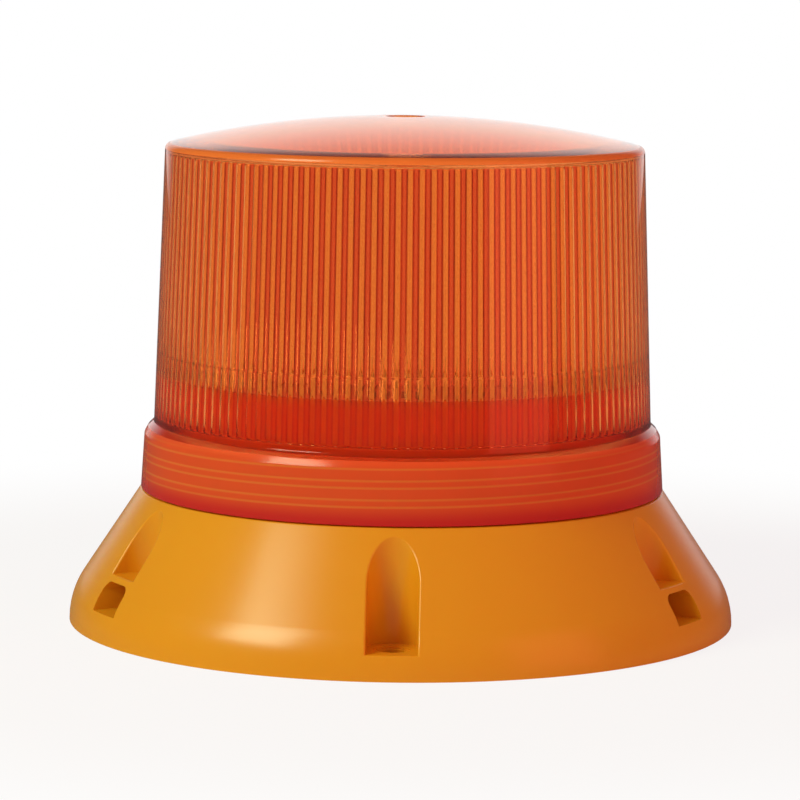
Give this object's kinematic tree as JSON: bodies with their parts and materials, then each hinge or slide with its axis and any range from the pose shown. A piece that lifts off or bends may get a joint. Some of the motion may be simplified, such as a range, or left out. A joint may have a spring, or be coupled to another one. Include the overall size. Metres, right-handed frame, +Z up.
{
  "type": "obstruction light",
  "caption": "Amber warning beacon on a flared three-bolt base, with a fluted screw-on lens over a low LED light engine.",
  "frame": {"origin": "centre of the mounting face, on the light's axis", "axes": "+Z up along the axis of base and lens, away from the mounting surface; -Y towards the pocket of one mounting bolt"},
  "size_m": [0.168, 0.168, 0.127],
  "materials": {
    "base_plastic": "moulded plastic, satin to gloss, yellow-orange",
    "lens_amber": "transparent amber moulding, polished outside, fluted inside",
    "seal_rubber": "moulded seal rubber",
    "aluminium_sheet": "brushed aluminium sheet",
    "board_white": "white solder mask",
    "board_green": "green solder mask",
    "led_yellow": "phosphor-coated LED package",
    "optic_clear": "clear moulded optic",
    "screw_steel": "zinc-plated steel",
    "can_sleeve": "shrink sleeve on aluminium can",
    "ferrite": "ferrite drum",
    "chip_black": "moulded epoxy",
    "header_black": "moulded connector body",
    "terminal_plastic": "moulded terminal body",
    "plate_plastic": "black moulded plate, fine grain",
    "grommet_rubber": "moulded rubber",
    "gasket_foam": "closed-cell foam"
  },
  "bodies": {
    "base": {"base_housing": "base_plastic", "heat_spreader": "aluminium_sheet", "led_board": "board_white", "led_packages": "led_yellow", "led_optics": "optic_clear", "light_engine_screws": "screw_steel", "driver_board": "board_green", "driver_screws": "screw_steel", "smoothing_capacitors": "can_sleeve", "power_inductor": "ferrite", "switching_transistors": "chip_black", "controller_chip": "chip_black", "stacking_header": "header_black", "header_socket": "header_black", "terminal_block": "terminal_plastic", "terminal_screws": "screw_steel", "base_plate": "plate_plastic", "base_plate_gasket": "seal_rubber", "base_plate_screws": "screw_steel", "cable_grommet": "grommet_rubber", "cable_clamp": "chip_black", "cable_clamp_screws": "screw_steel", "mounting_gasket": "gasket_foam"},
    "seal": {"lens_seal": "seal_rubber"},
    "lens": {"lens": "lens_amber"}
  },
  "joints": [
    {"name": "lens_lift", "type": "slide", "parent": "base", "child": "seal", "axis": [0, 0, 1], "range_m": [0, 0.009]},
    {"name": "lens_turn", "type": "hinge", "parent": "seal", "child": "lens", "pos_m": [0, 0, 0.04], "axis": [0, 0, 1], "range_deg": [0, 720]}
  ],
  "couplings": [
    {"joint": "lens_lift", "follows": "lens_turn", "m_per_rad": 0.0007162}
  ]
}
